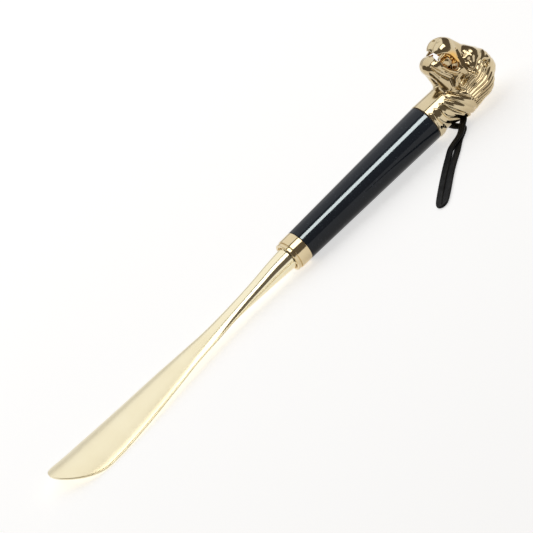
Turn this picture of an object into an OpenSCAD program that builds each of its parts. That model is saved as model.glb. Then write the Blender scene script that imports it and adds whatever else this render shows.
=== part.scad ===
// Long shoehorn: a troughed metal blade, a lacquered wooden grip and a cast animal head.
// The horn lies face up on the two edges of its blade and the back of its mane.

/* [Blade] */
// Length of the blade from the ferrule to the toe
blade_l = 211; // [200:1:220]
// Diameter of the shank where it enters the ferrule
shank_d = 15.2; // [14.6:0.2:15.6]
// Half of the widest part of the blade
blade_half_w = 22.4; // [21:0.2:23.4]
// Length of the rounded toe
toe_l = 30; // [24:1:34]
// Thickness of the blade along its middle
blade_t = 2.3; // [2:0.1:2.6]

/* [Ferrule] */
// Length of the ferrule
ferrule_l = 11.5; // [10:0.5:14]
// Outer diameter of the ferrule
ferrule_d = 21.6; // [21:0.2:22.4]

/* [Grip] */
// Length of the lacquered grip between ferrule and head
grip_l = 116; // [110:1:124]
// Diameter of the grip at the ferrule
grip_low_d = 21.6; // [21:0.2:22.4]
// Diameter of the grip at the head
grip_top_d = 25.6; // [25:0.2:26.4]

/* [Head] */
// Height of the head above the grip
head_l = 62; // [61:0.5:64]
// Diameter of the neck
neck_d = 25.8; // [25.4:0.2:26.2]
// Distance of the strap hole above the grip
hole_up = 20; // [19.5:0.5:20.5]
// Distance of the strap hole behind the middle of the neck
hole_back = 10.8; // [10.6:0.2:11]
// Diameter of the strap hole
hole_d = 5.2; // [5:0.1:5.4]

/* [Joints inside] */
// Thread diameter of both studs
stud_d = 6; // [5:0.5:7]
// Outer diameter of the two threaded inserts
insert_d = 12; // [11:0.5:12]
// Length of the two threaded inserts
insert_l = 18; // [14:1:20]
// Thickness of the two fibre washers
washer_t = 0.8; // [0.5:0.1:1]

/* [Strap] */
// Width of the leather thong
strap_w = 4.4; // [4:0.1:4.8]
// Thickness of the leather thong
strap_t = 1.6; // [1.4:0.1:1.8]

/* [Hidden] */
$fn = 96;

// Stations along the shaft, with zero where the blade meets the ferrule.
boss_l = 1.5;
web_t = 2;
tenon_x = boss_l + web_t + washer_t;
grip_x = ferrule_l;
neck_x = grip_x + grip_l;
crown_x = neck_x + head_l;
tenon_d = 18;
spigot_d = 15;
spigot_l = 6;

// The way the horn lies: the blade's edges and the mane's back touch the surface.
rim_drop = 5.96;
rim_x = -168;
mane_drop = 15.8;
mane_x = neck_x + 32;
tilt = atan((mane_drop - rim_drop) / (mane_x - rim_x));
lift = mane_drop * cos(tilt) - mane_x * sin(tilt);
centre_x = (crown_x - blade_l) / 2;

module at_rest() {
    translate([-centre_x, 0, lift])
        rotate([0, -tilt, 0])
            children();
}

module along_shaft(x) {
    translate([x, 0, 0])
        rotate([0, 90, 0])
            children();
}

// Blade sections. Each row holds the distance from the ferrule, the height of the crest,
// the half width, the drop from crest to edge, the thickness in the middle,
// the thickness at the edge, and half the angle of the arc across the section.
wide = blade_l - toe_l;
shank_r = shank_d / 2;
wide_crest = 4;
wide_drop = 8;
wide_angle = 39.2;
sections = [
    [0, shank_r - 0.1, shank_r - 0.1, shank_r - 0.6, shank_d - 0.2, 1, 88],
    [wide * 0.07, 6.6, 6.8, 6.2, 13.4, 1, 88],
    [wide * 0.15, 5, 6.3, 5.2, 11, 1, 87],
    [wide * 0.25, 3.6, 6.3, 4.2, 8.6, 1, 80],
    [wide * 0.39, 2.5, 8.1, 4.2, 5.2, 1.2, 58],
    [wide * 0.5, 2.7, 10.5, 4.4, 3.7, 1.5, 46],
    [wide * 0.64, 2.9, 14.8, 5.5, 2.9, 1.6, 41],
    [wide * 0.79, 3, 18.6, 6.8, 2.6, 1.6, 40.2],
    [wide * 0.93, 3.5, 21.5, 7.8, blade_t, 1.6, 39.7],
    [wide, wide_crest, blade_half_w, wide_drop, blade_t, 1.5, wide_angle]
];
tip_crest = 6.5;

// Smooth value of one column of the section table at distance d.
function row_at(d) = max([for (i = [0 : len(sections) - 2]) if (sections[i][0] <= d) i]);
function clamp_row(i) = max(0, min(len(sections) - 1, i));
function slope(i, column) =
    let (a = clamp_row(i - 1), b = clamp_row(i + 1))
    (sections[b][column] - sections[a][column]) / (sections[b][0] - sections[a][0]);
function column_at(d, column) =
    let (i = row_at(d), a = sections[i], b = sections[i + 1], span = b[0] - a[0],
         t = (d - a[0]) / span, t2 = t * t, t3 = t2 * t)
    (2 * t3 - 3 * t2 + 1) * a[column] + (t3 - 2 * t2 + t) * span * slope(i, column)
        + (3 * t2 - 2 * t3) * b[column] + (t3 - t2) * span * slope(i + 1, column);

// Past the widest place the toe is an ellipse cut out of the same trough.
trough_r = (pow(blade_half_w, 2) + pow(wide_drop, 2)) / (2 * wide_drop);
function toe_part(d) = max(0, (d - wide) / toe_l);
function toe_half_w(d) = blade_half_w * sqrt(max(0, 1 - pow(toe_part(d), 2)));
function section_at(d) = d <= wide
    ? [for (column = [1 : 6]) column_at(d, column)]
    : let (w = toe_half_w(d))
      [wide_crest + (tip_crest - wide_crest) * pow(toe_part(d), 1.5), w,
       trough_r - sqrt(pow(trough_r, 2) - w * w),
       blade_t - 0.6 * toe_part(d), 1.5, max(2, wide_angle * w / blade_half_w)];

half_steps = 9;
function arc_part(v, angle) = (1 - cos(v * angle)) / (1 - cos(angle));
function ring(d) =
    let (s = section_at(d), crest = s[0], w = s[1], drop = s[2], mid = s[3], rim = s[4], angle = s[5])
    concat(
        [for (k = [-half_steps : half_steps])
            let (v = k / half_steps)
            [-d, w * sin(v * angle) / sin(angle), crest - drop * arc_part(v, angle)]],
        [for (k = [half_steps : -1 : -half_steps])
            let (v = k / half_steps)
            [-d, w * sin(v * angle) / sin(angle),
             crest - mid + (mid - drop - rim) * arc_part(v, angle)]]);

body_stops = [for (k = [0 : 30]) wide * k / 30];
toe_stops = [for (k = [1 : 10]) wide + toe_l * sin(k * 8.9)];
rings = [for (d = concat(body_stops, toe_stops)) ring(d)];
ring_n = len(rings[0]);

module blade_sweep() {
    points = [for (r = rings) each r];
    last = (len(rings) - 1) * ring_n;
    sides = [for (i = [0 : len(rings) - 2]) for (k = [0 : ring_n - 1])
        let (a = i * ring_n + k, b = i * ring_n + (k + 1) % ring_n)
        each [[a, b + ring_n, b], [a, a + ring_n, b + ring_n]]];
    start_cap = [for (k = [0 : ring_n - 1]) k];
    end_cap = [for (k = [ring_n - 1 : -1 : 0]) last + k];
    polyhedron(points, concat([start_cap], sides, [end_cap]), convexity = 6);
}

module blade() {
    stud_depth = 12;
    color("#e3d7b4")
        at_rest()
            difference() {
                union() {
                    blade_sweep();
                    along_shaft(-0.8)
                        cylinder(d = shank_d, h = boss_l + 0.8);
                }
                along_shaft(-stud_depth)
                    cylinder(d = stud_d, h = stud_depth + boss_l + 1);
            }
}

module blade_stud() {
    color("#9a9a9c")
        at_rest()
            along_shaft(-11)
                cylinder(d = stud_d, h = 11 + tenon_x + insert_l - 2);
}

module ferrule() {
    lip_l = 2.2;
    r = ferrule_d / 2;
    gap_r = shank_r + 0.7;
    color("#dccfa2")
        at_rest()
            along_shaft(0)
                rotate_extrude()
                    polygon([
                        [gap_r, 0], [r - 1, 0], [r - 0.5, 0.4], [r - 0.5, lip_l - 0.5], [r - 0.9, lip_l],
                        [r - 0.9, lip_l + 0.3], [r, lip_l + 0.8], [r, ferrule_l],
                        [tenon_d / 2, ferrule_l], [tenon_d / 2, boss_l + web_t],
                        [stud_d / 2, boss_l + web_t], [stud_d / 2, boss_l], [gap_r, boss_l]
                    ]);
}

module fibre_ring(outer_d, inner_d) {
    difference() {
        cylinder(d = outer_d, h = washer_t);
        translate([0, 0, -1])
            cylinder(d = inner_d, h = washer_t + 2);
    }
}

module ferrule_washer() {
    color("#7c5a3c")
        at_rest()
            along_shaft(boss_l + web_t)
                fibre_ring(tenon_d - 0.4, stud_d + 0.4);
}

// Brass insert with three driving ridges round it.
module threaded_insert() {
    r = insert_d / 2;
    ridge = insert_l / 3;
    rotate_extrude()
        polygon(concat(
            [[stud_d / 2, 0]],
            [for (k = [0 : 2]) each [[r - 0.8, k * ridge], [r, k * ridge + 1.2], [r, (k + 1) * ridge - 0.8],
                                     [r - 0.8, (k + 1) * ridge - 0.4]]],
            [[r - 0.8, insert_l], [stud_d / 2, insert_l]]));
}

module lower_insert() {
    color("#b8963f")
        at_rest()
            along_shaft(tenon_x)
                threaded_insert();
}

module upper_insert() {
    color("#b8963f")
        at_rest()
            along_shaft(neck_x - spigot_l - insert_l)
                threaded_insert();
}

module grip() {
    socket_l = insert_l + 4;
    color("#15151a")
        at_rest()
            difference() {
                union() {
                    along_shaft(grip_x)
                        cylinder(d1 = grip_low_d, d2 = grip_top_d, h = grip_l);
                    along_shaft(tenon_x)
                        cylinder(d = tenon_d, h = grip_x - tenon_x + 1);
                }
                along_shaft(tenon_x - 1)
                    cylinder(d = insert_d, h = socket_l + 1);
                along_shaft(neck_x - spigot_l - socket_l)
                    cylinder(d = insert_d, h = socket_l + spigot_l + 1);
                along_shaft(neck_x - spigot_l)
                    cylinder(d = spigot_d + 0.2, h = spigot_l + 1);
            }
}

module head_stud() {
    color("#9a9a9c")
        at_rest()
            along_shaft(neck_x - spigot_l - insert_l + 2)
                cylinder(d = stud_d, h = insert_l - 2 + spigot_l + 15);
}

module neck_washer() {
    color("#2a2522")
        at_rest()
            along_shaft(neck_x)
                fibre_ring(grip_top_d - 1.2, spigot_d + 0.2);
}

// A ball, or a mirrored pair of balls, placed by height, side and forward distance.
module ball(up, side, fore, r) {
    for (hand = side == 0 ? [1] : [-1, 1])
        translate([neck_x + up, hand * side, fore])
            sphere(r = r, $fn = 32);
}

module neck() {
    base = washer_t;
    along_shaft(neck_x + base)
        cylinder(d = neck_d, h = 26);
    along_shaft(neck_x - spigot_l)
        cylinder(d = spigot_d, h = spigot_l + base + 1);
}

module mane() {
    hull() {
        ball(32, 4.4, -4, 11.8);
        ball(43, 5.8, 0, 11);
        ball(51.5, 4.8, 2.5, 7.6);
    }
}

module skull() {
    hull() {
        ball(48.5, 6.2, 12, 6.2);
        ball(54.4, 7.2, 4.6, 4.8);
        ball(57.4, 0, 3, 4.6);
        ball(40, 7.6, 12, 8.6);
        ball(43.4, 2.6, 20, 4.6);
    }
}

module upper_jaw() {
    hull() {
        ball(35.2, 4.2, 29.8, 6.5);
        ball(38.6, 1.8, 31, 4.6);
        ball(38, 5.2, 17, 7);
    }
}

module lower_jaw() {
    hull() {
        ball(23.8, 2.4, 28.9, 5);
        ball(28, 6, 13, 8);
    }
}

module strap_lug() {
    translate([neck_x + hole_up, 0, -hole_back])
        rotate([90, 0, 0])
            cylinder(r = 4.6, h = 14, center = true);
}

module head() {
    stud_socket = 16;
    color("#d6bf86")
        at_rest()
            difference() {
                union() {
                    neck();
                    mane();
                    skull();
                    upper_jaw();
                    lower_jaw();
                    strap_lug();
                }
                along_shaft(neck_x - spigot_l - 1)
                    cylinder(d = stud_d, h = spigot_l + 1 + stud_socket);
                translate([neck_x + hole_up, 0, -hole_back])
                    rotate([90, 0, 0])
                        cylinder(d = hole_d, h = 40, center = true);
            }
}

// The thong is one leather lace. Its first part passes through the hole and round the lug,
// and the loop is the rest, which lies on the surface beside the grip. Each point holds
// the three coordinates of its middle line in the resting frame.
hole_route = [
    [148.4, -17.6, 3.1], [150.9, -15.4, 3.4], [153.6, -13.2, 3.8], [156.2, -11.2, 4.2], [157.9, -9, 4.6],
    [158.4, -5.4, 4.8], [158.4, 0, 4.8], [158.4, 5, 4.8], [158.2, 9, 4.6], [157.2, 11.8, 3.9],
    [155, 12.6, 2.7], [152.9, 10.8, 1.5], [152.2, 7, 1], [152.2, 2, 0.9], [152.4, -4, 0.9],
    [153.3, -9.2, 0.9], [152.4, -13.2, 0.9], [148.8, -16.6, 0.9]
];
loop_route = [
    [144.6, -19.8, 2.8], [140.6, -21.3, 2.8], [136.6, -22.8, 2.8], [132.4, -25, 2.6], [127.4, -28.1, 1.4],
    [121.4, -32.8, 0.9], [114.9, -38.9, 0.9], [108.1, -45.4, 0.9], [101.8, -51.6, 0.9], [96.4, -57.1, 0.9],
    [92.8, -61.1, 0.9], [90.8, -64.4, 0.9], [91.6, -66.4, 0.9], [94, -65.8, 0.9],
    [97.2, -63, 0.9], [100.4, -60, 0.9], [105.4, -55.2, 0.9], [111.4, -49.2, 0.9], [117.8, -43, 0.9],
    [123.8, -37.6, 0.9], [129.6, -32.8, 0.9], [134.8, -28.4, 0.9], [139.6, -23.8, 0.9], [143.4, -20.4, 0.9]
];
fold_start = 10;
fold_end = 14;

// Direction of a route at point i, laid flat.
function heading(route, i) =
    let (a = route[max(0, i - 1)], b = route[min(len(route) - 1, i + 1)], step = b - a)
    step / norm(step);
function across(route, i) =
    let (h = heading(route, i), flat = [h[1], -h[0], 0])
    flat / norm(flat);
thong_outline = [for (k = [0 : 7])
    let (a = 22.5 + k * 45)
    [cos(a) / cos(22.5), sin(a) / sin(67.5)]];

// The lace narrows where it is pinched into the pointed fold.
function lace_w(i, pinch) = strap_w * (pinch && i > fold_start && i < fold_end ? 0.42 : 1);
function lace_ring(route, i, pinch) =
    let (side = across(route, i), up = cross(side, heading(route, i)))
    [for (q = thong_outline) route[i] + side * (q[0] * lace_w(i, pinch) / 2) + up * (q[1] * strap_t / 2)];

module lace(route, pinch) {
    n = len(thong_outline);
    points = [for (i = [0 : len(route) - 1]) each lace_ring(route, i, pinch)];
    last = (len(route) - 1) * n;
    sides = [for (i = [0 : len(route) - 2]) for (k = [0 : n - 1])
        let (a = i * n + k, b = i * n + (k + 1) % n)
        each [[a, b, b + n], [a, b + n, a + n]]];
    polyhedron(points, concat([[for (k = [n - 1 : -1 : 0]) k]], sides, [[for (k = [0 : n - 1]) last + k]]),
               convexity = 8);
}

module strap_in_hole() {
    color("#1c1c22")
        lace(hole_route, false);
}

module strap_loop() {
    color("#1c1c22")
        lace(loop_route, true);
}

blade();
blade_stud();
ferrule();
ferrule_washer();
lower_insert();
grip();
upper_insert();
head_stud();
neck_washer();
head();
strap_in_hole();
strap_loop();
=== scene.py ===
import math
import bpy
import numpy as np
from mathutils import Matrix, Vector


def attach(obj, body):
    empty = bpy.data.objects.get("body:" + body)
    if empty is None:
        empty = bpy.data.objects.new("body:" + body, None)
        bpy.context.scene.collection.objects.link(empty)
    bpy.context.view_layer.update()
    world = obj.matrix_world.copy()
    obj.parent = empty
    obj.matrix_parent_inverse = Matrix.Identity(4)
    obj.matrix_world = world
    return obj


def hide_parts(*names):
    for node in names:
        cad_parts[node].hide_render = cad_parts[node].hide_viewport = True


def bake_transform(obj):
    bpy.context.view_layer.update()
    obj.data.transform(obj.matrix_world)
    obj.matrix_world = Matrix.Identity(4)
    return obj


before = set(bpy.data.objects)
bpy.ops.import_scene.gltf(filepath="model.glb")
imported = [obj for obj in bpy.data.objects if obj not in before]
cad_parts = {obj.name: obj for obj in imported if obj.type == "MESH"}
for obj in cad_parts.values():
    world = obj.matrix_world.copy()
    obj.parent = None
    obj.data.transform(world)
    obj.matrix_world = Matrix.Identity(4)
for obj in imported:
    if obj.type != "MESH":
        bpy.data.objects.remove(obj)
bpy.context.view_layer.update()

MM = 0.001

# The resting frame, as the CAD gives it: the shaft runs along +X with a slight rise to the head.
BLADE_L = 211.0
TOE_L = 30.0
SHANK_R = 7.6
HALF_W = 22.4
BLADE_T = 2.3
FERRULE_L = 11.5
FERRULE_R = 10.8
GRIP_L = 116.0
GRIP_LOW_R = 10.8
GRIP_TOP_R = 12.8
HEAD_L = 62.0
NECK_R = 12.9
NECK_X = FERRULE_L + GRIP_L
# It lies on the back of the mane and on the blade's two edges.
MANE_X, MANE_DROP = NECK_X + 32, 15.8
RIM_X, RIM_DROP = -168, 5.96
TILT = math.atan((MANE_DROP - RIM_DROP) / (MANE_X - RIM_X))
LIFT = MANE_DROP * math.cos(TILT) - MANE_X * math.sin(TILT)
CENTRE_X = (NECK_X + HEAD_L - BLADE_L) / 2


def at_rest(p):
    """Points in millimetres along the shaft, as points in metres in the row frame."""
    p = np.asarray(p, float)
    c, s = math.cos(TILT), math.sin(TILT)
    out = np.empty_like(p)
    out[:, 0] = p[:, 0] * c - p[:, 2] * s - CENTRE_X
    out[:, 1] = p[:, 1]
    out[:, 2] = p[:, 0] * s + p[:, 2] * c + LIFT
    return out * MM


def turn_to(x, y, z):
    """The rotation that carries the world's axes onto these."""
    return Matrix([[axis[i] for axis in (x, y, z)] for i in range(3)]).to_quaternion()


# Camera: a long lens from the front left, rolled so that the shaft runs up to the right.
AZIMUTH, ELEVATION, ROLL = math.radians(-20.6), math.radians(28.4), math.radians(-32.62)
DISTANCE = 8.0
LENS = 861.5
AIM_UP, AIM_LEFT = 0.013, 0.0049
back = Vector((math.sin(AZIMUTH) * math.cos(ELEVATION),
               -math.cos(AZIMUTH) * math.cos(ELEVATION), math.sin(ELEVATION)))
right = Vector((0, 0, 1)).cross(back).normalized()
up = back.cross(right)
cam_right = right * math.cos(ROLL) + up * math.sin(ROLL)
cam_up = up * math.cos(ROLL) - right * math.sin(ROLL)
cam_data = bpy.data.cameras.new("camera")
cam_data.lens = LENS
cam_data.sensor_width = 36.0
cam_data.clip_start, cam_data.clip_end = 0.1, 50
camera = bpy.data.objects.new("camera", cam_data)
bpy.context.scene.collection.objects.link(camera)
aim = Vector((0, 0, AIM_UP)) - cam_right * AIM_LEFT
camera.location = aim + back * DISTANCE
camera.rotation_mode = "QUATERNION"
camera.rotation_quaternion = turn_to(cam_right, cam_up, back)
bpy.context.scene.camera = camera


# Materials -----------------------------------------------------------------

class Nodes:
    """Short names for building a node tree."""

    def __init__(self, name):
        self.material = bpy.data.materials.new(name)
        self.material.use_nodes = True
        self.tree = self.material.node_tree
        self.shader = self.tree.nodes["Principled BSDF"]
        self.place = self.add("ShaderNodeTexCoord").outputs["Object"]

    def add(self, kind, **values):
        node = self.tree.nodes.new(kind)
        for key, value in values.items():
            setattr(node, key, value)
        return node

    def link(self, a, b):
        self.tree.links.new(a, b)

    def scaled(self, scale):
        m = self.add("ShaderNodeMapping")
        self.link(self.place, m.inputs["Vector"])
        m.inputs["Scale"].default_value = scale
        return m.outputs["Vector"]

    def noise(self, scale, detail=3.0, rough=0.5, stretch=(1, 1, 1)):
        """Scale counts the patches in a metre."""
        n = self.add("ShaderNodeTexNoise")
        self.link(self.scaled(stretch), n.inputs["Vector"])
        n.inputs["Scale"].default_value = scale
        n.inputs["Detail"].default_value = detail
        n.inputs["Roughness"].default_value = rough
        return n.outputs["Fac"]

    def remap(self, value, low, high, to_low, to_high):
        r = self.add("ShaderNodeMapRange")
        self.link(value, r.inputs["Value"])
        for key, x in (("From Min", low), ("From Max", high), ("To Min", to_low), ("To Max", to_high)):
            r.inputs[key].default_value = x
        return r.outputs["Result"]

    def mix(self, fac, a, b):
        m = self.add("ShaderNodeMix", data_type="RGBA")
        self.link(fac, m.inputs[0])
        for socket, value in ((6, a), (7, b)):
            if isinstance(value, tuple):
                m.inputs[socket].default_value = (*value, 1)
            else:
                self.link(value, m.inputs[socket])
        return m.outputs[2]

    def bump(self, height, strength, distance, normal=None):
        b = self.add("ShaderNodeBump")
        b.inputs["Strength"].default_value = strength
        b.inputs["Distance"].default_value = distance
        self.link(height, b.inputs["Height"])
        if normal is not None:
            self.link(normal, b.inputs["Normal"])
        return b.outputs["Normal"]


# painted reflection: the deeper orange gold inside the lion's mouth, and the distances over which it fades
# out
MOUTH_REFLECTION_GOLD = (0.86, 0.52, 0.16)
MOUTH_REFLECTION_NEAR, MOUTH_REFLECTION_FAR = 0.0042, 0.0072


def gold(name, bright, deep, rough, grain, grain_depth, stretch, satin=None, mouth=None):
    """Plated metal: its tone drifts slightly and fine polishing marks run along the shaft.
    satin is (x where it starts, x where it is full, roughness there), and mouth is the
    middle, seen from the side, of a painted reflection: a deeper orange gold blended into the
    plate's colour inside the mouth, standing in for gold reflected in gold there."""
    n = Nodes(name)
    n.shader.inputs["Metallic"].default_value = 1.0
    tone = n.remap(n.noise(38, 3), 0.35, 0.65, 0, 1)
    colour = n.mix(tone, bright, deep)
    # painted reflection: inside the mouth the base colour turns to a deeper orange gold, standing in for
    # gold reflecting in gold
    if mouth:
        away = n.add("ShaderNodeVectorMath", operation="DISTANCE")
        n.link(n.scaled((1, 0, 1)), away.inputs[0])
        away.inputs[1].default_value = mouth
        inside = n.remap(away.outputs["Value"], MOUTH_REFLECTION_NEAR, MOUTH_REFLECTION_FAR, 1, 0)
        colour = n.mix(inside, colour, MOUTH_REFLECTION_GOLD)
    n.link(colour, n.shader.inputs["Base Color"])
    marks = n.noise(grain, 4, 0.6, stretch)
    blotch = n.noise(90, 2)
    gloss = n.remap(marks, 0.3, 0.7, rough * 0.8, rough * 1.25)
    if satin:
        start, full, satin_rough = satin
        split = n.add("ShaderNodeSeparateXYZ")
        n.link(n.place, split.inputs["Vector"])
        extra = n.add("ShaderNodeMath", operation="ADD")
        n.link(gloss, extra.inputs[0])
        n.link(n.remap(split.outputs["X"], start, full, 0, satin_rough - rough), extra.inputs[1])
        gloss = extra.outputs[0]
    n.link(gloss, n.shader.inputs["Roughness"])
    first = n.bump(marks, grain_depth, 0.00003)
    n.link(n.bump(blotch, 0.02, 0.0001, first), n.shader.inputs["Normal"])
    return n.material


def lacquer(name):
    """Black lacquer over wood: sparse paler specks, and the grain telegraphs through faintly."""
    n = Nodes(name)
    speck = n.noise(900, 2)
    n.link(n.mix(n.remap(speck, 0.62, 0.72, 0, 1), (0.003, 0.0034, 0.0045), (0.008, 0.009, 0.011)),
           n.shader.inputs["Base Color"])
    grain = n.noise(60, 4, 0.6, (0.12, 1, 1))
    n.link(n.remap(n.noise(45, 3), 0.3, 0.7, 0.07, 0.12), n.shader.inputs["Roughness"])
    n.shader.inputs["Specular IOR Level"].default_value = 0.22
    n.link(n.bump(grain, 0.05, 0.0004), n.shader.inputs["Normal"])
    return n.material


def leather(name):
    """Dull black leather with fine pores and paler scuffs."""
    n = Nodes(name)
    v = n.add("ShaderNodeTexVoronoi", feature="DISTANCE_TO_EDGE")
    n.link(n.scaled((1, 1, 1)), v.inputs["Vector"])
    v.inputs["Scale"].default_value = 1500
    pores = n.remap(v.outputs["Distance"], 0, 0.2, 0, 1)
    scuff = n.remap(n.noise(120, 4), 0.5, 0.75, 0, 1)
    n.link(n.mix(scuff, (0.0035, 0.0035, 0.0045), (0.010, 0.010, 0.012)), n.shader.inputs["Base Color"])
    n.link(n.remap(n.noise(260, 3), 0.3, 0.7, 0.42, 0.6), n.shader.inputs["Roughness"])
    n.shader.inputs["Specular IOR Level"].default_value = 0.22
    n.link(n.bump(pores, 0.35, 0.00008), n.shader.inputs["Normal"])
    return n.material


def plain(name, dark, light, rough, scale):
    """The mottled metal or fibre of a hidden piece."""
    n = Nodes(name)
    n.link(n.mix(n.noise(scale, 3), dark, light), n.shader.inputs["Base Color"])
    n.link(n.remap(n.noise(scale * 2, 3), 0.3, 0.7, rough * 0.8, rough * 1.2), n.shader.inputs["Roughness"])
    n.link(n.bump(n.noise(scale * 4, 3), 0.2, 0.0001), n.shader.inputs["Normal"])
    return n


BLADE_GOLD = gold("blade_gold", (0.93, 0.85, 0.62), (0.90, 0.81, 0.57), 0.12, 700, 0.04, (0.06, 1, 1),
                  satin=(-0.02, -0.09, 0.32))
# painted shade: the head's plate gets a darker, browner copy of the blade's gold, standing in for the dark
# reflections across its relief
HEAD_GOLD = gold("head_gold", (0.68, 0.57, 0.37), (0.56, 0.44, 0.26), 0.12, 420, 0.04, (1, 1, 1),
                 # mouth places the painted reflection, a deeper orange gold, inside the lion's mouth
                 mouth=(0.1712, 0, 0.0412))
RING_GOLD = gold("ring_gold", (0.76, 0.64, 0.42), (0.70, 0.57, 0.35), 0.10, 900, 0.05, (1, 0.2, 0.2))
LACQUER = lacquer("black_lacquer")
LEATHER = leather("black_leather")
steel = plain("turned_steel", (0.45, 0.45, 0.46), (0.6, 0.6, 0.61), 0.35, 200)
steel.shader.inputs["Metallic"].default_value = 1.0
brass = plain("insert_brass", (0.62, 0.46, 0.2), (0.74, 0.58, 0.28), 0.35, 200)
brass.shader.inputs["Metallic"].default_value = 1.0
fibre = plain("washer_fibre", (0.10, 0.06, 0.035), (0.2, 0.13, 0.08), 0.75, 400)


# Mesh helpers ----------------------------------------------------------------

def new_piece(name, points, faces, material, body):
    """A smooth-shaded mesh piece. A blended piece has no body of its own."""
    mesh = bpy.data.meshes.new(name)
    mesh.from_pydata([tuple(p) for p in points], [], faces)
    mesh.validate()
    mesh.update()
    mesh.shade_smooth()
    obj = bpy.data.objects.new(name, mesh)
    bpy.context.scene.collection.objects.link(obj)
    mesh.materials.append(material)
    if body:
        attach(obj, body)
    return obj


def sharp_by_angle(obj, degrees):
    bpy.context.view_layer.objects.active = obj
    for o in bpy.context.selected_objects:
        o.select_set(False)
    obj.select_set(True)
    bpy.ops.object.shade_smooth_by_angle(angle=math.radians(degrees))
    obj.select_set(False)


def lofted(rows):
    """Faces between rows of points that are closed rings, with both ends closed."""
    n = len(rows[0])
    points = [p for row in rows for p in row]
    faces = []
    for i in range(len(rows) - 1):
        for k in range(n):
            a, b = i * n + k, i * n + (k + 1) % n
            faces.append((a, b, b + n, a + n))
    faces.append(tuple(range(n - 1, -1, -1)))
    last = (len(rows) - 1) * n
    faces.append(tuple(last + k for k in range(n)))
    return points, faces


TURNED_STEPS = 128
TURNED_CREASE = 30


def turned(name, profile, material):
    """A lathe piece round the shaft. The profile is a closed loop of (x, r)."""
    rows = []
    for k in range(TURNED_STEPS):
        t = 2 * math.pi * k / TURNED_STEPS
        rows.append([(x, r * math.cos(t), r * math.sin(t)) for x, r in profile])
    m = len(profile)
    points = [p for row in rows for p in row]
    faces = []
    for i in range(TURNED_STEPS):
        j = (i + 1) % TURNED_STEPS
        for k in range(m):
            q = (k + 1) % m
            faces.append((i * m + k, i * m + q, j * m + q, j * m + k))
    obj = new_piece(name, at_rest(points), faces, material, "horn")
    sharp_by_angle(obj, TURNED_CREASE)
    return obj


def rounded(corners):
    """Rounds a profile: each corner is (x, r, radius), with 0 for a sharp one."""
    out = []
    n = len(corners)
    for i, (x, r, radius) in enumerate(corners):
        if radius == 0:
            out.append((x, r))
            continue
        p = np.array((x, r))
        a = np.array(corners[i - 1][:2]) - p
        b = np.array(corners[(i + 1) % n][:2]) - p
        a, b = a / np.linalg.norm(a) * radius, b / np.linalg.norm(b) * radius
        for t in (0, 0.25, 0.5, 0.75, 1):
            out.append(tuple(p + a * (1 - t) ** 2 + b * t ** 2))
    return out


# The leather lace ------------------------------------------------------------

LACE_L, LACE_W, LACE_T = 223, 4.4, 1.6
# Worn flat, the strip is this much wider than it was cut.
PRESSED = 1.13
LACE_SIDES = 20
LACE_SAMPLES = 5
# How far the section is from an ellipse: less than 1 is squarer.
EDGE_POWER, FACE_POWER = 0.55, 0.75
# Beside the hole the strip is pinched narrower and a little thicker.
PINCH, PINCH_SPREAD, PINCH_THICKENS = 0.58, 1.15, 0.12
# The lace's path round through the hole and out round the loop, in millimetres.
HOLE_ROUTE = [
    (148.4, -17.6, 3.1), (150.9, -15.4, 3.4), (153.6, -13.2, 3.8), (156.2, -11.2, 4.2), (157.9, -9, 4.6),
    (158.4, -5.4, 4.8), (158.4, 0, 4.8), (158.4, 5, 4.8), (158.2, 9, 4.6), (157.2, 11.8, 3.9),
    (155, 12.6, 2.7), (152.9, 10.8, 1.5), (152.2, 7, 1), (152.2, 2, 0.9), (152.4, -4, 0.9),
    (153.3, -9.2, 0.9), (152.4, -13.2, 0.9), (148.8, -16.6, 0.9)]
LOOP_ROUTE = [
    (144.6, -19.8, 2.8), (140.6, -21.3, 2.8), (136.6, -22.8, 2.8), (132.4, -25, 2.6), (127.4, -28.1, 1.4),
    (121.4, -32.8, 0.9), (114.9, -38.9, 0.9), (108.1, -45.4, 0.9), (101.8, -51.6, 0.9), (96.4, -57.1, 0.9),
    (92.8, -61.1, 0.9), (90.8, -64.4, 0.9), (91.6, -66.4, 0.9), (94, -65.8, 0.9),
    (97.2, -63, 0.9), (100.4, -60, 0.9), (105.4, -55.2, 0.9), (111.4, -49.2, 0.9), (117.8, -43, 0.9),
    (123.8, -37.6, 0.9), (129.6, -32.8, 0.9), (134.8, -28.4, 0.9), (139.6, -23.8, 0.9), (143.4, -20.4, 0.9)]
# The lace starts under the neck, goes out through the loop and comes back through the hole.
JOIN = (157.8, 10.6, 4.3)
ROUTE = [JOIN] + HOLE_ROUTE[9:] + LOOP_ROUTE[::-1] + HOLE_ROUTE[:9] + [JOIN]
TIP_INDEX = 12
PINCH_AT = 1 + (len(HOLE_ROUTE) - 9) + (len(LOOP_ROUTE) - 1 - TIP_INDEX)


def spline(points, per):
    """Catmull-Rom through the points, with a running index for each sample."""
    p = np.array(points, float)
    p = np.vstack([2 * p[0] - p[1], p, 2 * p[-1] - p[-2]])
    out, index = [], []
    for i in range(1, len(p) - 2):
        for k in range(per):
            t = k / per
            a, b, c, d = p[i - 1], p[i], p[i + 1], p[i + 2]
            out.append(0.5 * ((2 * b) + (c - a) * t + (2 * a - 5 * b + 4 * c - d) * t * t
                              + (3 * b - a - 3 * c + d) * t ** 3))
            index.append(i - 1 + t)
    out.append(p[-2])
    index.append(len(points) - 1.0)
    return np.array(out), np.array(index)


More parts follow.
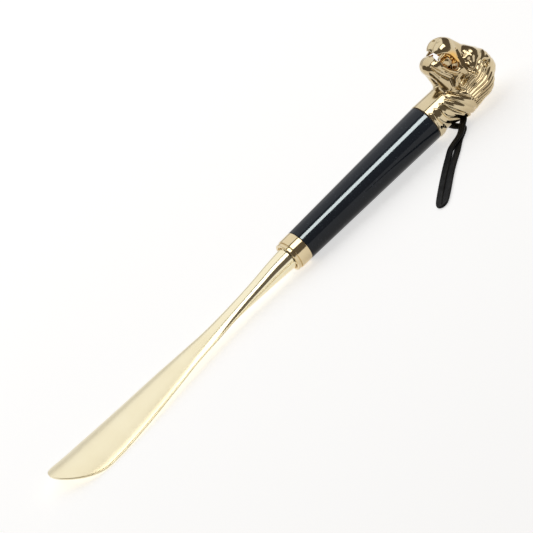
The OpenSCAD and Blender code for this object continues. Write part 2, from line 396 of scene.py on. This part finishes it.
def make_lace():
    line, index = spline(ROUTE, LACE_SAMPLES)
    ahead = np.gradient(line, axis=0)
    ahead /= np.linalg.norm(ahead, axis=1)[:, None]
    side = np.stack([ahead[:, 1], -ahead[:, 0], np.zeros(len(line))], 1)
    side /= np.linalg.norm(side, axis=1)[:, None]
    rise = np.cross(side, ahead)
    # a soft-edged strap section: flat faces, rounded edges and a slight crown
    section = []
    for k in range(LACE_SIDES):
        a = 2 * math.pi * (k + 0.5) / LACE_SIDES
        c, s = math.cos(a), math.sin(a)
        section.append((math.copysign(abs(c) ** EDGE_POWER, c),
                        math.copysign(abs(s) ** FACE_POWER, s)))
    rows = []
    for p, h, w, r, i in zip(line, ahead, side, rise, index):
        pinch = 1 - PINCH * math.exp(-((i - PINCH_AT) / PINCH_SPREAD) ** 2)
        half = LACE_W / 2 * pinch * PRESSED
        thick = LACE_T / 2 * (1 + PINCH_THICKENS * (1 - pinch))
        rows.append([tuple((p + w * half * x + r * thick * y) * MM) for x, y in section])
    points, faces = lofted(rows)
    faces = [tuple(reversed(f)) for f in faces]
    lace = new_piece("leather_lace", points, faces, LEATHER, None)
    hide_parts("strap_in_hole", "strap_loop")
    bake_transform(lace)


make_lace()


# The blade -------------------------------------------------------------------

WIDE = BLADE_L - TOE_L
WIDE_CREST, WIDE_DROP, WIDE_ANGLE, TIP_CREST = 4.0, 8.0, 39.2, 6.5
EDGE_T = 1.5
# Each row: part of the way to the widest place, then crest, half width, drop, middle thickness,
# edge thickness and half angle there.
SECTIONS = np.array([
    (0, 7.5, 7.5, 7.0, 15.0, 1, 88),
    (0.07, 6.6, 6.8, 6.2, 13.4, 1, 88),
    (0.15, 5, 6.3, 5.2, 11, 1, 87),
    (0.25, 3.6, 6.3, 4.2, 8.6, 1, 80),
    (0.39, 2.5, 8.1, 4.2, 5.2, 1.2, 58),
    (0.5, 2.7, 10.5, 4.4, 3.7, 1.5, 46),
    (0.64, 2.9, 14.8, 5.5, 2.9, 1.6, 41),
    (0.79, 3, 18.6, 6.8, 2.6, 1.6, 40.2),
    (0.93, 3.5, 21.5, 7.8, BLADE_T, 1.6, 39.7),
    (1, WIDE_CREST, HALF_W, WIDE_DROP, BLADE_T, EDGE_T, WIDE_ANGLE)])
SECTIONS[:, 0] *= WIDE
TROUGH_R = (HALF_W ** 2 + WIDE_DROP ** 2) / (2 * WIDE_DROP)
TOE_CURVE, TOE_THINS, TOE_LEAST_ANGLE = 1.5, 0.6, 2.0
# The first section stands just off the ferrule. The toe's stop just short of its very tip.
FIRST_STOP, BODY_STOPS, TOE_STOPS, TOE_TURN = 0.3, 90, 30, 2.98
ARC_STEPS = 22
# Points along the arc crowd towards its edges.
CROWD = math.pi / 2 * 0.92
BLADE_CREASE = 50


def blade_section(d):
    """Crest, half width, drop, middle thickness, edge thickness and half angle at distance d."""
    if d > WIDE:
        part = (d - WIDE) / TOE_L
        w = HALF_W * math.sqrt(max(0.0, 1 - part * part))
        crest = WIDE_CREST + (TIP_CREST - WIDE_CREST) * part ** TOE_CURVE
        drop = TROUGH_R - math.sqrt(TROUGH_R ** 2 - w * w)
        angle = max(TOE_LEAST_ANGLE, WIDE_ANGLE * w / HALF_W)
        return crest, w, drop, BLADE_T - TOE_THINS * part, EDGE_T, angle
    at = SECTIONS[:, 0]
    i = min(len(at) - 2, max(0, int(np.searchsorted(at, d, side="right")) - 1))
    span = at[i + 1] - at[i]
    t = (d - at[i]) / span

    def slope(k):
        a, b = max(0, k - 1), min(len(at) - 1, k + 1)
        return (SECTIONS[b] - SECTIONS[a]) / (at[b] - at[a])
    row = ((2 * t ** 3 - 3 * t * t + 1) * SECTIONS[i] + (t ** 3 - 2 * t * t + t) * span * slope(i)
           + (3 * t * t - 2 * t ** 3) * SECTIONS[i + 1] + (t ** 3 - t * t) * span * slope(i + 1))
    return tuple(row[1:])


def make_blade():
    stops = [FIRST_STOP]
    stops += [WIDE * k / BODY_STOPS for k in range(1, BODY_STOPS + 1)]
    stops += [WIDE + TOE_L * math.sin(math.radians(k * TOE_TURN)) for k in range(1, TOE_STOPS + 1)]
    across = np.sin(np.linspace(-math.pi / 2, math.pi / 2, 2 * ARC_STEPS + 1) * CROWD / (math.pi / 2))
    across /= math.sin(CROWD)
    rows = []
    for d in stops:
        crest, w, drop, mid, rim, angle = blade_section(d)
        a = math.radians(angle)
        y = w * np.sin(across * a) / math.sin(a)
        arc = (1 - np.cos(across * a)) / (1 - math.cos(a))
        top = np.stack([y, crest - drop * arc], 1)
        low = np.stack([y, crest - mid + (mid - drop - rim) * arc], 1)
        # the edges are rounded over: both skins meet on a small half round
        ends = []
        for side in (1, -1):
            e = top[-1] if side > 0 else top[0]
            g = low[-1] if side > 0 else low[0]
            c, r = (e + g) / 2, np.linalg.norm(e - g) / 2
            down = (g - e) / (2 * r)
            out = np.array([-down[1], down[0]])
            if out[0] * side < 0:
                out = -out
            pull = min(r * 0.95, w * 0.3)
            ends.append([c - down * r * math.cos(q) + out * pull * (math.sin(q) - 1)
                         for q in np.radians((0, 22, 45, 67, 90, 113, 135, 158, 180))])
        inner = slice(2, -2)
        ring = list(top[inner]) + ends[0] + list(low[inner][::-1]) + ends[1][::-1]
        rows.append([(-d, p[0], p[1]) for p in ring])
    points, faces = lofted(rows)
    blade = new_piece("blade_shell", at_rest(points), faces, BLADE_GOLD, "horn")
    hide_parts("blade")
    sharp_by_angle(blade, BLADE_CREASE)
    return blade


blade = make_blade()

# The ferrule and the grip ----------------------------------------------------

SOCKET_R = 9
STUD_R = 3
LIP_R, LIP_L = FERRULE_R - 0.5, 2.2
GROOVE_R, GROOVE_END = FERRULE_R - 1.0, 2.7
WEB_START, WEB_END = 1.5, 3.5
SHANK_SEAT_R = SHANK_R + 0.9
RING_END = FERRULE_L - 0.05
GRIP_END = NECK_X - 0.15

ferrule = turned("ferrule_ring", rounded([
    (0, SHANK_SEAT_R, 0), (0, LIP_R, 0.35), (LIP_L, LIP_R, 0.4), (LIP_L, GROOVE_R, 0),
    (GROOVE_END, GROOVE_R, 0), (GROOVE_END, FERRULE_R - 0.05, 0.35), (FERRULE_L - 0.4, FERRULE_R, 0.3),
    (RING_END, FERRULE_R - 0.25, 0), (RING_END, SOCKET_R, 0), (WEB_END, SOCKET_R, 0),
    (WEB_END, STUD_R, 0), (WEB_START, STUD_R, 0), (WEB_START, SHANK_SEAT_R, 0)]), RING_GOLD)
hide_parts("ferrule")

grip = turned("grip_body", rounded([
    (FERRULE_L, SOCKET_R, 0), (FERRULE_L, GRIP_LOW_R - 0.05, 0.35),
    (GRIP_END, GRIP_TOP_R - 0.05, 0.6), (GRIP_END, SOCKET_R, 0)]), LACQUER)
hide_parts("grip")

# The lion's head --------------------------------------------------------------
# A field of distances in millimetres: u up the shaft from the grip, s to the side and
# f forward out of the face. It is computed for one side and mirrored.

STEP = 0.27
FACE_STRETCH = 1.02
SEAT_U = 0.35
LACE_HOLE_U, LACE_HOLE_F, LACE_HOLE_R = 20.0, -10.8, 2.7
LOW = np.array((0.0, 0.0, -18.0))
SIZE = np.array((64.0, 18.5, 58.5))
counts = np.ceil(SIZE / STEP).astype(int) + 1
axes_u, axes_s, axes_f = (LOW[i] + STEP * np.arange(counts[i]) for i in range(3))
# the plane of symmetry falls between two samples, so that the mirrored halves join smoothly
axes_s = axes_s + STEP / 2
U, S, F = (g.astype(np.float32) for g in np.meshgrid(axes_u, axes_s, axes_f, indexing="ij"))


def join(a, b, k):
    """a and b together, with a fillet of about k."""
    h = np.maximum(k - np.abs(a - b), 0) / k
    return np.minimum(a, b) - h * h * k / 4


def carve(a, b, k):
    """a with b cut out of it."""
    h = np.maximum(k - np.abs(a + b), 0) / k
    return np.maximum(a, -b) + h * h * k / 4


def ball(c, r):
    return np.sqrt((U - c[0]) ** 2 + (S - c[1]) ** 2 + (F - c[2]) ** 2) - r


def limb(a, b, ra, rb):
    """A tapered capsule."""
    a, b = np.array(a, float), np.array(b, float)
    d = b - a
    t = ((U - a[0]) * d[0] + (S - a[1]) * d[1] + (F - a[2]) * d[2]) / float(d @ d)
    t = np.clip(t, 0, 1)
    return np.sqrt((U - a[0] - d[0] * t) ** 2 + (S - a[1] - d[1] * t) ** 2
                   + (F - a[2] - d[2] * t) ** 2) - (ra + (rb - ra) * t)


def egg(c, r, turn=0.0):
    """An ellipsoid turned in the plane of the face."""
    q = math.radians(turn)
    u, s, f = U - c[0], S - c[1], F - c[2]
    u, f = u * math.cos(q) + f * math.sin(q), -u * math.sin(q) + f * math.cos(q)
    k0 = np.sqrt((u / r[0]) ** 2 + (s / r[1]) ** 2 + (f / r[2]) ** 2)
    k1 = np.sqrt((u / r[0] ** 2) ** 2 + (s / r[1] ** 2) ** 2 + (f / r[2] ** 2) ** 2) + 1e-6
    return k0 * (k0 - 1) / k1


def string(points, radii):
    """A chain of capsules through the points."""
    out = None
    for a, b, ra, rb in zip(points, points[1:], radii, radii[1:]):
        one = limb(a, b, ra, rb)
        out = one if out is None else np.minimum(out, one)
    return out


def step_up(x, low, high):
    """Rises smoothly from 0 at low to 1 at high."""
    t = np.clip((x - low) / (high - low), 0, 1)
    return t * t * (3 - 2 * t)


def sculpt():
    """The distance field of the head, from the big masses to the fine relief."""
    round_r = np.sqrt(S * S + F * F)
    # neck and the mass of the mane
    d = round_r - (NECK_R - 0.15 - 0.03 * U)
    d = np.maximum(d, U - 24)
    d = join(d, limb((26, 3.6, -3.2), (42, 5.6, -0.2), 12.0, 11.2), 5)
    d = join(d, limb((42, 5.8, 0), (51.5, 4.8, 2.5), 11.0, 7.8), 3)
    # skull, brow, nose bridge and cheek
    d = join(d, limb((50.5, 3.4, 8.5), (47.2, 3.0, 15.0), 8.4, 6.8), 3)
    d = join(d, egg((48.8, 5.8, 14.2), (4.6, 4.0, 5.2), -35), 2.2)
    d = join(d, limb((44.6, 0, 18.5), (40.2, 0, 29.0), 6.2, 5.6), 2.6)
    d = join(d, limb((42.5, 7.6, 9.5), (37.4, 7.6, 14.8), 6.4, 5.0), 2.6)
    # upper lip: the side of the muzzle and the two whisker pads
    d = join(d, limb((38.6, 4.6, 19), (36.8, 4.4, 27), 5.2, 5.2), 2.5)
    d = join(d, egg((34.8, 3.2, 30.2), (7.4, 6.2, 6.6), 22), 3.0)
    d = join(d, egg((38.6, 0, 32.2), (3.8, 4.6, 4.2), 30), 3.0)
    # lower jaw with a round chin
    d = join(d, limb((27.4, 5.4, 12), (24.4, 4.0, 21), 7.2, 5.2), 2.5)
    d = join(d, limb((24.0, 0, 26.4), (24.1, 2.4, 26.0), 6.5, 6.3), 2)
    # open mouth, right through, with the jaw's muscle left behind it
    mouth = egg((32.8, 3.5, 25.0), (5.4, 10.0, 8.6), 24)
    d = carve(d, mouth, 0.9)
    d = carve(d, limb((28.6, 0, 34.6), (28.8, 6.5, 31.0), 0.9, 1.0), 0.9)
    # tongue, palate ridges and teeth
    d = join(d, limb((26.4, 0, 17), (26.9, 0.8, 25.0), 3.8, 2.8), 1.0)
    d = join(d, string([(37.4, 5.0, 22), (36.2, 5.4, 26), (34.6, 5.2, 29.4)], [1.5, 1.5, 1.2]), 0.8)
    d = join(d, limb((32.8, 6.4, 30.4), (28.4, 6.6, 30.2), 1.6, 0.6), 0.5)
    d = join(d, limb((27.2, 6.8, 27.6), (31.6, 6.8, 27.4), 1.6, 0.6), 0.5)
    for f, length in ((24.4, 2.0), (21.4, 2.2)):
        d = join(d, limb((27.6, 6.8, f), (27.6 + length, 6.8, f), 1.4, 0.8), 0.5)
        d = join(d, limb((37.4, 7.0, f), (35.2, 7.0, f + 0.2), 1.5, 0.8), 0.5)
    # lips: a rolled rim round the mouth, and the fold below the lower lip
    rim = [(34.0, 8.0, 30.6), (37.0, 8.9, 26.2), (38.0, 9.8, 21.0), (36.2, 10.7, 16.6),
           (32.4, 10.7, 16.6), (28.8, 9.8, 21.2), (27.0, 8.8, 25.6), (27.2, 7.6, 29.2)]
    d = join(d, string(rim, [0.6, 0.9, 1.1, 1.2, 1.3, 1.2, 1.1, 0.8]), 1.0)
    fold = [(21.4, 6.6, 29.4), (22.4, 8.2, 25.8), (24.2, 9.5, 21.4), (26.8, 11.0, 16.6),
            (25.0, 12.0, 11.8)]
    d = carve(d, string(fold, [0.7, 1.2, 1.4, 1.6, 1.1]), 1.0)
    d = carve(d, limb((33.2, 12.6, 12.8), (29.4, 12.8, 12.6), 1.5, 1.1), 1.2)
    # eye in its socket, with both lids and a frown over it
    d = carve(d, egg((44.6, 9.2, 19.2), (2.4, 2.6, 3.8), -35), 1.6)
    d = join(d, ball((44.4, 7.3, 17.6), 2.7), 0.5)
    d = join(d, string([(44.4, 4.8, 21.0), (46.6, 7.0, 19.4), (47.0, 9.3, 16.9), (45.4, 10.3, 14.8)],
                       [0.8, 1.25, 1.25, 0.9]), 1.2)
    d = join(d, string([(42.4, 5.4, 21.0), (42.0, 8.0, 18.9), (43.0, 9.9, 15.9)], [0.7, 1.0, 0.8]), 1.0)
    d = join(d, string([(48.4, 2.4, 18.2), (49.6, 5.6, 16.6), (49.0, 8.8, 13.2)], [1.5, 2.2, 1.5]), 2.6)
    d = carve(d, limb((54, 0, 14.8), (49.8, 0, 20.4), 0.6, 0.4), 1.6)
    # creases: beside the nose bridge, under the cheekbone, across the muzzle
    crease = [(41.6, 6.4, 26.0), (40.2, 8.4, 22.4), (39.2, 10.2, 18.2), (39.6, 12.0, 13.2),
              (41.6, 13.4, 9.6)]
    d = carve(d, string(crease, [0.6, 1.3, 1.5, 1.3, 0.8]), 1.8)
    d = carve(d, limb((36.4, 1.9, 37.4), (35.8, 2.8, 36.4), 0.8, 0.6), 0.6)
    d = carve(d, limb((36.0, 0, 37.6), (30.6, 0, 36.4), 0.5, 0.7), 1.4)
    # a small round ear laid into the mane
    d = join(d, egg((53.0, 9.6, 6.6), (4.3, 2.6, 3.7), 25), 0.9)
    d = carve(d, egg((52.4, 12.2, 8.0), (2.9, 1.9, 2.2), 25), 0.7)
    d = join(d, string([(50.4, 10.8, 6.4), (52.4, 11.4, 7.4), (54.4, 10.6, 7.6)], [0.45, 0.5, 0.4]), 0.4)
    # lug behind the neck for the strap
    d = join(d, limb((16.5, 0, -9.6), (23.5, 0, -10.2), 4.2, 4.6), 2)
    return d


def waves(phase):
    """0 on a lock's crest and 1 in the groove beside it."""
    return 1 - np.abs(np.sin(np.pi * phase))


def ridges(phase):
    """0 on a soft ridge and 1 in the hollow beside it."""
    return 0.5 + 0.5 * np.cos(2 * np.pi * phase)


def locks(d):
    """Cuts the mane's strands, its wavy locks and the zigzag edge of the smooth bib."""
    front = np.arctan2(S, F)
    # face, jaw and the bib under the throat stay clear of hair
    face = step_up(F - 10.5 - 0.1 * (U - 30), -1.0, 1.5) * step_up(U, 15.5, 18)
    tooth = np.abs(((U / 4.8 + 0.2) % 1.0) - 0.5) * 2
    bib = 1 - step_up(front - 0.80 - 0.20 * tooth, -0.03, 0.05)
    bib *= 1 - step_up(U, 16, 18.5)
    hair = (1 - face) * (1 - bib)
    # straight strands down the cheek from the ear, closing up towards the jaw
    gap = 2.15 + 0.04 * (U - 36)
    strand = ridges((F - 4.6 - 0.16 * (U - 36)) / gap)
    upper = step_up(U, 28, 31) * (1 - 0.8 * step_up(U, 49, 53))
    # locks that sweep round the neck: level at the collar, rising to the back higher up
    rise = 0.6 * step_up(U, 3, 17)
    sweep = 0.82 * U + rise * F + 0.8 * np.sin(0.30 * F + 0.16 * U)
    broad = waves(sweep / 4.6 + 0.1)
    fine = ridges(sweep / 2.3 + 0.3)
    lower = (1 - step_up(U, 28, 31)) * step_up(U, 0.8, 2.2)
    cut = 0.72 * strand * upper + (0.95 * broad + 0.22 * fine) * lower
    lift = 0.6 * (1 - step_up(U, 18, 24)) * step_up(U, 0.8, 1.6)
    return d + (cut - lift) * hair


def surface(field, low, step):
    """Closed quads where the field crosses zero: one point in each cell that it crosses."""
    inside = field < 0
    n = np.array(field.shape) - 1
    total = np.zeros((*n, 3), np.float32)
    hits = np.zeros(n, np.float32)
    quads = []

    def cut(array, axis, start, stop):
        index = [slice(None)] * 3
        index[axis] = slice(start, stop)
        return array[tuple(index)]
    for axis in range(3):
        others = [i for i in range(3) if i != axis]
        a, b = cut(field, axis, 0, -1), cut(field, axis, 1, None)
        crossed = cut(inside, axis, 0, -1) != cut(inside, axis, 1, None)
        t = np.where(crossed, a / np.where(crossed, a - b, 1), 0)
        for p in (0, 1):
            for q in (0, 1):
                index = [slice(None)] * 3
                index[others[0]] = slice(p, p + n[others[0]])
                index[others[1]] = slice(q, q + n[others[1]])
                hit = crossed[tuple(index)]
                hits += hit
                total[..., axis] += t[tuple(index)]
                total[..., others[0]] += p * hit
                total[..., others[1]] += q * hit
    used = hits > 0
    ids = np.full(n, -1, np.int64)
    ids[used] = np.arange(int(used.sum()))
    cells = np.argwhere(used)
    points = (cells + total[used] / hits[used][:, None]) * step + low
    for axis in range(3):
        o1, o2 = [(1, 2), (2, 0), (0, 1)][axis]
        crossed = cut(inside, axis, 0, -1) != cut(inside, axis, 1, None)
        where = np.argwhere(crossed)
        v1, v2 = where[:, o1], where[:, o2]
        where = where[(v1 > 0) & (v2 > 0) & (v1 < n[o1]) & (v2 < n[o2])]
        corner = []
        for p, q in ((1, 1), (0, 1), (0, 0), (1, 0)):
            w = where.copy()
            w[:, o1] -= p
            w[:, o2] -= q
            corner.append(ids[w[:, 0], w[:, 1], w[:, 2]])
        quad = np.stack(corner, 1)
        flip = ~inside[where[:, 0], where[:, 1], where[:, 2]]
        quad[flip] = quad[flip][:, ::-1]
        quads.append(quad)
    return points, np.concatenate(quads)


def sample(field, low, step, points):
    """The field's value and slope at each point."""
    q = (points - low) / step
    cell = np.clip(np.floor(q).astype(int), 0, np.array(field.shape) - 2)
    x, y, z = (q - cell).T
    ci, cj, ck = cell.T
    c = [[[field[ci + i, cj + j, ck + k] for k in (0, 1)] for j in (0, 1)] for i in (0, 1)]

    def blend(a, b, w):
        return a * (1 - w) + b * w
    fx = [[blend(c[0][j][k], c[1][j][k], x) for k in (0, 1)] for j in (0, 1)]
    value = blend(blend(fx[0][0], fx[1][0], y), blend(fx[0][1], fx[1][1], y), z)
    gx = blend(blend(c[1][0][0] - c[0][0][0], c[1][1][0] - c[0][1][0], y),
               blend(c[1][0][1] - c[0][0][1], c[1][1][1] - c[0][1][1], y), z)
    gy = blend(fx[1][0] - fx[0][0], fx[1][1] - fx[0][1], z)
    gz = blend(fx[0][1], fx[1][1], y) - blend(fx[0][0], fx[1][0], y)
    return value, np.stack([gx, gy, gz], 1) / step


def make_head():
    half = locks(sculpt())
    # flat seat on the grip, and the strap's hole through the lug
    half = np.maximum(half, SEAT_U - U)
    hole = np.sqrt((U - LACE_HOLE_U) ** 2 + (F - LACE_HOLE_F) ** 2) - LACE_HOLE_R
    half = carve(half, hole, 0.8)
    field = np.concatenate([half[:, ::-1], half], axis=1)
    low = np.array((LOW[0], -(axes_s[-1]), LOW[2]))
    points, quads = surface(field, low, STEP)
    # two steps along the slope bring each point onto the surface
    for _ in range(2):
        value, slope = sample(field, low, STEP, points)
        move = value[:, None] * slope / (np.sum(slope * slope, 1)[:, None] + 0.05)
        points = points - np.clip(move, -0.5 * STEP, 0.5 * STEP)
    points[:, 2] = np.where(points[:, 2] > 0, points[:, 2] * FACE_STRETCH, points[:, 2])
    points[:, 0] += NECK_X
    head = new_piece("lion_head", at_rest(points), quads.tolist(), HEAD_GOLD, "horn")
    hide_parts("head")
    return head


head = make_head()

# Pieces inside keep their CAD shape and get their own metal or fibre.
for node, material in (("blade_stud", steel), ("head_stud", steel), ("lower_insert", brass),
                       ("upper_insert", brass), ("ferrule_washer", fibre), ("neck_washer", fibre)):
    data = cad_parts[node].data
    data.materials.clear()
    data.materials.append(material.material)


# Floor and light -----------------------------------------------------------------

FLOOR_HALF, FLOOR_Z = 4, -0.0002
corners = [(x * FLOOR_HALF, y * FLOOR_HALF, FLOOR_Z) for x, y in ((-1, -1), (1, -1), (1, 1), (-1, 1))]
floor_mesh = bpy.data.meshes.new("floor")
floor_mesh.from_pydata(corners, [], [(0, 1, 2, 3)])
floor = bpy.data.objects.new("floor", floor_mesh)
bpy.context.scene.collection.objects.link(floor)
floor_nodes = Nodes("pale_floor")
for socket, value in (("Base Color", (0.75, 0.75, 0.75, 1)), ("Roughness", 0.9),
                      ("Specular IOR Level", 0.0), ("Emission Color", (1, 1, 1, 1)),
                      ("Emission Strength", 0.64)):
    floor_nodes.shader.inputs[socket].default_value = value
floor_mesh.materials.append(floor_nodes.material)


def panel(name, place, size, radiance, tint=(1, 1, 1), at=(0, 0, 0.015)):
    """A soft light of that size in metres, turned to the point at, its first side along the shaft."""
    data = bpy.data.lights.new(name, "AREA")
    data.shape = "RECTANGLE"
    data.size, data.size_y = size
    data.energy = radiance * math.pi * size[0] * size[1]
    data.color = tint
    obj = bpy.data.objects.new(name, data)
    bpy.context.scene.collection.objects.link(obj)
    obj.location = place
    away = (Vector(place) - Vector(at)).normalized()
    x = Vector((1, 0, 0))
    x = (x - away * x.dot(away)).normalized()
    obj.rotation_mode = "QUATERNION"
    obj.rotation_quaternion = turn_to(x, away.cross(x), away)
    return obj


def only_on(light, *pieces):
    """Lets a light fall on these pieces alone, as a shaded studio lamp would."""
    group = bpy.data.collections.new(light.name + "_on")
    for piece in pieces:
        group.objects.link(piece)
    light.light_linking.receiver_collection = group


TOP_AT, TOP_SIZE = (0.1, 0.95, 1.53), (3.0, 2.6)
STRIP_AT, STRIP_TO = (0.40, -0.46, 0.86), (0.08, 0, 0.014)
panel("overhead", TOP_AT, TOP_SIZE, 0.92, (0.96, 0.98, 1.0))
panel("back", (0.1, 1.9, 0.30), (3.0, 0.8), 0.5)
grip_strip = panel("grip_strip", STRIP_AT, (1.1, 0.34), 40.0, (0.90, 1.0, 1.0), at=STRIP_TO)
only_on(grip_strip, grip)
only_on(panel("grip_top", TOP_AT, TOP_SIZE, 1.6, (0.80, 0.90, 1.0)), grip)
metal_strip = panel("metal_strip", STRIP_AT, (0.9, 0.56), 2.6, (1.0, 0.99, 0.95), at=STRIP_TO)
only_on(metal_strip, blade, ferrule, head)

world = bpy.data.worlds.new("studio")
world.use_nodes = True
sky = world.node_tree.nodes["Background"].inputs
sky["Color"].default_value = (1.0, 0.86, 0.70, 1)
sky["Strength"].default_value = 0.13
bpy.context.scene.world = world
bpy.context.scene.view_settings.view_transform = "Standard"
bpy.context.scene.view_settings.exposure = 0.0
